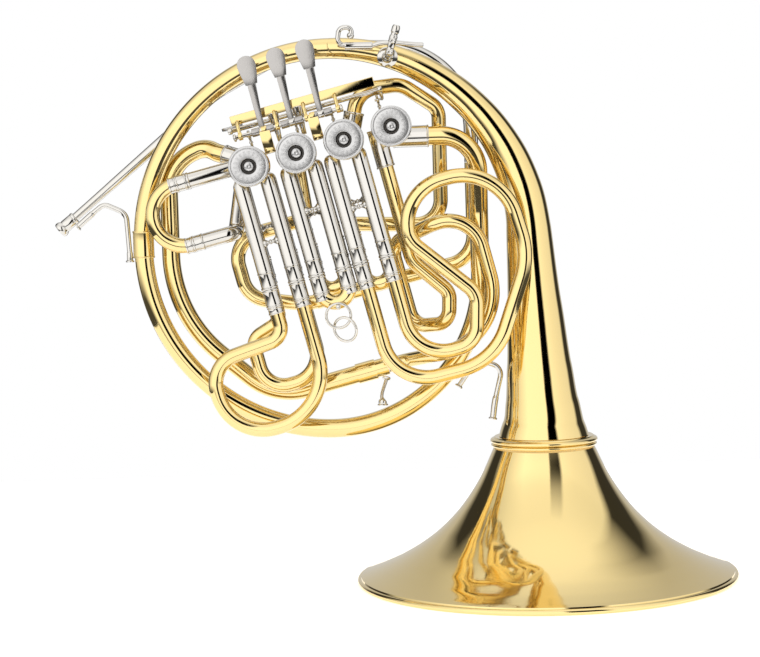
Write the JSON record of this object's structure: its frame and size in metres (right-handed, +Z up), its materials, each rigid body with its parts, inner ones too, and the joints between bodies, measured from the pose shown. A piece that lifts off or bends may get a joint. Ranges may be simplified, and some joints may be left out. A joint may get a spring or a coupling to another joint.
{
  "type": "double French horn",
  "caption": "Double French horn on its bell rim: turning rotors, sprung levers with links, pull-out tuning slides, adjustable little-finger hook.",
  "frame": {"origin": "bottom centre of the bounding box, on the floor plane under the bell rim", "axes": "+Z up along the bell axis, +X towards the side the bell is on, -Y towards the valve caps and front slides"},
  "size_m": [0.547, 0.31, 0.4527],
  "materials": {
    "valve_casing_1": "polished yellow brass, clear lacquered",
    "valve_cap_1": "polished nickel silver, clear lacquered",
    "bearing_plate_1": "polished nickel silver, clear lacquered",
    "rotor_1": "bare machined brass rotor with steel-bright stop arm",
    "valve_casing_2": "polished yellow brass, clear lacquered",
    "valve_cap_2": "polished nickel silver, clear lacquered",
    "bearing_plate_2": "polished nickel silver, clear lacquered",
    "rotor_2": "bare machined brass rotor with steel-bright stop arm",
    "valve_casing_3": "polished yellow brass, clear lacquered",
    "valve_cap_3": "polished nickel silver, clear lacquered",
    "bearing_plate_3": "polished nickel silver, clear lacquered",
    "rotor_3": "bare machined brass rotor with steel-bright stop arm",
    "valve_casing_4": "polished yellow brass, clear lacquered",
    "valve_cap_4": "polished nickel silver, clear lacquered",
    "bearing_plate_4": "polished nickel silver, clear lacquered",
    "rotor_4": "bare machined brass rotor with steel-bright stop arm",
    "f_slide_sleeves_1": "polished nickel silver, clear lacquered",
    "f_slide_sleeves_2": "polished nickel silver, clear lacquered",
    "f_slide_sleeves_3": "polished nickel silver, clear lacquered",
    "f_slide_crook_1": "polished yellow brass, clear lacquered",
    "f_slide_crook_2": "polished yellow brass, clear lacquered",
    "f_slide_crook_3": "polished yellow brass, clear lacquered",
    "b_slide_sleeves_1": "polished nickel silver, clear lacquered",
    "b_slide_crook_1": "polished yellow brass, clear lacquered",
    "b_slide_sleeves_2": "polished nickel silver, clear lacquered",
    "b_slide_crook_2": "polished yellow brass, clear lacquered",
    "b_slide_sleeves_3": "polished nickel silver, clear lacquered",
    "b_slide_crook_3": "polished yellow brass, clear lacquered",
    "tuning_sleeve_upper": "polished nickel silver, clear lacquered",
    "tuning_sleeve_lower": "polished nickel silver, clear lacquered",
    "tuning_slide": "polished yellow brass, clear lacquered",
    "change_branch": "polished yellow brass, clear lacquered",
    "finger_lever_1": "polished nickel silver, clear lacquered",
    "finger_lever_2": "polished nickel silver, clear lacquered",
    "finger_lever_3": "polished nickel silver, clear lacquered",
    "link_rod_1": "polished nickel silver, clear lacquered",
    "link_rod_2": "polished nickel silver, clear lacquered",
    "link_rod_3": "polished nickel silver, clear lacquered",
    "link_rod_4": "polished nickel silver, clear lacquered",
    "lever_rod": "polished nickel silver, clear lacquered",
    "lever_bridge": "polished yellow brass, clear lacquered",
    "thumb_lever": "polished nickel silver, clear lacquered",
    "bell_flare": "polished yellow brass, clear lacquered",
    "bell_ring": "polished yellow brass, clear lacquered",
    "bell_tail": "polished yellow brass, clear lacquered",
    "bell_branch": "polished yellow brass, clear lacquered",
    "first_branch": "polished yellow brass, clear lacquered",
    "second_branch": "polished yellow brass, clear lacquered",
    "back_branch": "polished yellow brass, clear lacquered",
    "leadpipe": "polished nickel silver, clear lacquered",
    "mouthpiece_receiver": "polished nickel silver, clear lacquered",
    "receiver_brace": "polished nickel silver, clear lacquered",
    "bell_brace": "polished nickel silver, clear lacquered",
    "coil_strut": "polished nickel silver, clear lacquered",
    "pinky_hook": "polished nickel silver, clear lacquered",
    "hook_post": "polished nickel silver, clear lacquered",
    "pull_ring_1": "polished nickel silver, clear lacquered",
    "pull_ring_2": "polished nickel silver, clear lacquered"
  },
  "bodies": {
    "horn": {"valve_casing_1": "valve_casing_1", "valve_cap_1": "valve_cap_1", "bearing_plate_1": "bearing_plate_1", "valve_casing_2": "valve_casing_2", "valve_cap_2": "valve_cap_2", "bearing_plate_2": "bearing_plate_2", "valve_casing_3": "valve_casing_3", "valve_cap_3": "valve_cap_3", "bearing_plate_3": "bearing_plate_3", "valve_casing_4": "valve_casing_4", "valve_cap_4": "valve_cap_4", "bearing_plate_4": "bearing_plate_4", "f_slide_sleeves_1": "f_slide_sleeves_1", "f_slide_sleeves_2": "f_slide_sleeves_2", "f_slide_sleeves_3": "f_slide_sleeves_3", "b_slide_sleeves_1": "b_slide_sleeves_1", "b_slide_sleeves_2": "b_slide_sleeves_2", "b_slide_sleeves_3": "b_slide_sleeves_3", "tuning_sleeve_upper": "tuning_sleeve_upper", "tuning_sleeve_lower": "tuning_sleeve_lower", "change_branch": "change_branch", "lever_rod": "lever_rod", "lever_bridge": "lever_bridge", "bell_flare": "bell_flare", "bell_ring": "bell_ring", "bell_tail": "bell_tail", "bell_branch": "bell_branch", "first_branch": "first_branch", "second_branch": "second_branch", "back_branch": "back_branch", "leadpipe": "leadpipe", "mouthpiece_receiver": "mouthpiece_receiver", "receiver_brace": "receiver_brace", "bell_brace": "bell_brace", "coil_strut": "coil_strut", "hook_post": "hook_post"},
    "rotor_1": {"rotor_1": "rotor_1"},
    "rotor_2": {"rotor_2": "rotor_2"},
    "rotor_3": {"rotor_3": "rotor_3"},
    "rotor_4": {"rotor_4": "rotor_4"},
    "lever_1": {"finger_lever_1": "finger_lever_1"},
    "lever_2": {"finger_lever_2": "finger_lever_2"},
    "lever_3": {"finger_lever_3": "finger_lever_3"},
    "thumb": {"thumb_lever": "thumb_lever"},
    "link_1": {"link_rod_1": "link_rod_1"},
    "link_2": {"link_rod_2": "link_rod_2"},
    "link_3": {"link_rod_3": "link_rod_3"},
    "link_4": {"link_rod_4": "link_rod_4"},
    "front_crook_1": {"f_slide_crook_1": "f_slide_crook_1"},
    "front_crook_2": {"f_slide_crook_2": "f_slide_crook_2"},
    "front_crook_3": {"f_slide_crook_3": "f_slide_crook_3"},
    "back_crook_1": {"b_slide_crook_1": "b_slide_crook_1"},
    "back_crook_2": {"b_slide_crook_2": "b_slide_crook_2"},
    "back_crook_3": {"b_slide_crook_3": "b_slide_crook_3"},
    "tuning_crook": {"tuning_slide": "tuning_slide"},
    "hook": {"pinky_hook": "pinky_hook"},
    "ring_upper": {"pull_ring_1": "pull_ring_1"},
    "ring_lower": {"pull_ring_2": "pull_ring_2"}
  },
  "joints": [
    {"name": "lever_1_press", "type": "hinge", "parent": "horn", "child": "lever_1", "pos_m": [-0.09839, -0.036, 0.37003], "axis": [-0.9703, 0, -0.2419], "range_deg": [0, 9.8], "stiffness_Nm_per_rad": 0.12, "springref_deg": -14.32},
    {"name": "lever_2_press", "type": "hinge", "parent": "horn", "child": "lever_2", "pos_m": [-0.0753, -0.036, 0.37579], "axis": [-0.9703, 0, -0.2419], "range_deg": [0, 9.8], "stiffness_Nm_per_rad": 0.12, "springref_deg": -14.32},
    {"name": "lever_3_press", "type": "hinge", "parent": "horn", "child": "lever_3", "pos_m": [-0.0523, -0.036, 0.38152], "axis": [-0.9703, 0, -0.2419], "range_deg": [0, 9.8], "stiffness_Nm_per_rad": 0.12, "springref_deg": -14.32},
    {"name": "thumb_press", "type": "hinge", "parent": "horn", "child": "thumb", "pos_m": [-0.05965, -0.016, 0.38659], "axis": [-0.9703, 0, -0.2419], "range_deg": [0, 15.9], "stiffness_Nm_per_rad": 0.12, "springref_deg": -14.32},
    {"name": "rotor_1_turn", "type": "hinge", "parent": "horn", "child": "rotor_1", "pos_m": [-0.11037, 0.005, 0.342], "axis": [0, 1, 0], "range_deg": [0, 90]},
    {"name": "link_1_travel", "type": "slide", "parent": "horn", "child": "link_1", "axis": [0.2419, 0, -0.9703], "range_m": [0, 0.0085]},
    {"name": "rotor_2_turn", "type": "hinge", "parent": "horn", "child": "rotor_2", "pos_m": [-0.07272, 0.005, 0.35139], "axis": [0, 1, 0], "range_deg": [0, 90]},
    {"name": "link_2_travel", "type": "slide", "parent": "horn", "child": "link_2", "axis": [0.2419, 0, -0.9703], "range_m": [0, 0.0085]},
    {"name": "rotor_3_turn", "type": "hinge", "parent": "horn", "child": "rotor_3", "pos_m": [-0.03507, 0.005, 0.36077], "axis": [0, -1, 0], "range_deg": [0, 90]},
    {"name": "link_3_travel", "type": "slide", "parent": "horn", "child": "link_3", "axis": [0.2419, 0, -0.9703], "range_m": [0, 0.0085]},
    {"name": "rotor_4_turn", "type": "hinge", "parent": "horn", "child": "rotor_4", "pos_m": [0.00257, 0.005, 0.37016], "axis": [0, -1, 0], "range_deg": [0, 90]},
    {"name": "link_4_travel", "type": "slide", "parent": "horn", "child": "link_4", "axis": [0.2419, 0, -0.9703], "range_m": [0, 0.0085]},
    {"name": "front_slide_1_pull", "type": "slide", "parent": "horn", "child": "front_crook_1", "axis": [0.2419, 0, -0.9703], "range_m": [0, 0.04]},
    {"name": "front_slide_2_pull", "type": "slide", "parent": "horn", "child": "front_crook_2", "axis": [0.2419, 0, -0.9703], "range_m": [0, 0.04]},
    {"name": "front_slide_3_pull", "type": "slide", "parent": "horn", "child": "front_crook_3", "axis": [0.2419, 0, -0.9703], "range_m": [0, 0.03]},
    {"name": "back_slide_1_pull", "type": "slide", "parent": "horn", "child": "back_crook_1", "axis": [0.2419, 0, -0.9703], "range_m": [0, 0.04]},
    {"name": "back_slide_2_pull", "type": "slide", "parent": "horn", "child": "back_crook_2", "axis": [0.2419, 0, -0.9703], "range_m": [0, 0.04]},
    {"name": "back_slide_3_pull", "type": "slide", "parent": "horn", "child": "back_crook_3", "axis": [0.2419, 0, -0.9703], "range_m": [0, 0.025]},
    {"name": "tuning_slide_pull", "type": "slide", "parent": "horn", "child": "tuning_crook", "axis": [-0.9703, 0, -0.2419], "range_m": [0, 0.013]},
    {"name": "hook_adjust", "type": "slide", "parent": "horn", "child": "hook", "axis": [-1, 0, 0], "range_m": [-0.008, 0.008]},
    {"name": "ring_upper_swing", "type": "hinge", "parent": "front_crook_2", "child": "ring_upper", "pos_m": [-0.04331, -0.0404, 0.22928], "axis": [0, 1, 0], "range_deg": [-25, 25]},
    {"name": "ring_lower_twist", "type": "hinge", "parent": "ring_upper", "child": "ring_lower", "pos_m": [-0.04081, -0.0404, 0.21663], "axis": [0.4138, 0, -0.9104], "range_deg": [-8, 20]}
  ],
  "couplings": [
    {"joint": "rotor_1_turn", "follows": "lever_1_press", "ratio": 9.1836},
    {"joint": "link_1_travel", "follows": "lever_1_press", "m_per_rad": 0.049695},
    {"joint": "rotor_2_turn", "follows": "lever_2_press", "ratio": 9.1836},
    {"joint": "link_2_travel", "follows": "lever_2_press", "m_per_rad": 0.049695},
    {"joint": "rotor_3_turn", "follows": "lever_3_press", "ratio": 9.1836},
    {"joint": "link_3_travel", "follows": "lever_3_press", "m_per_rad": 0.049695},
    {"joint": "rotor_4_turn", "follows": "thumb_press", "ratio": 5.6603},
    {"joint": "link_4_travel", "follows": "thumb_press", "m_per_rad": 0.030629}
  ]
}
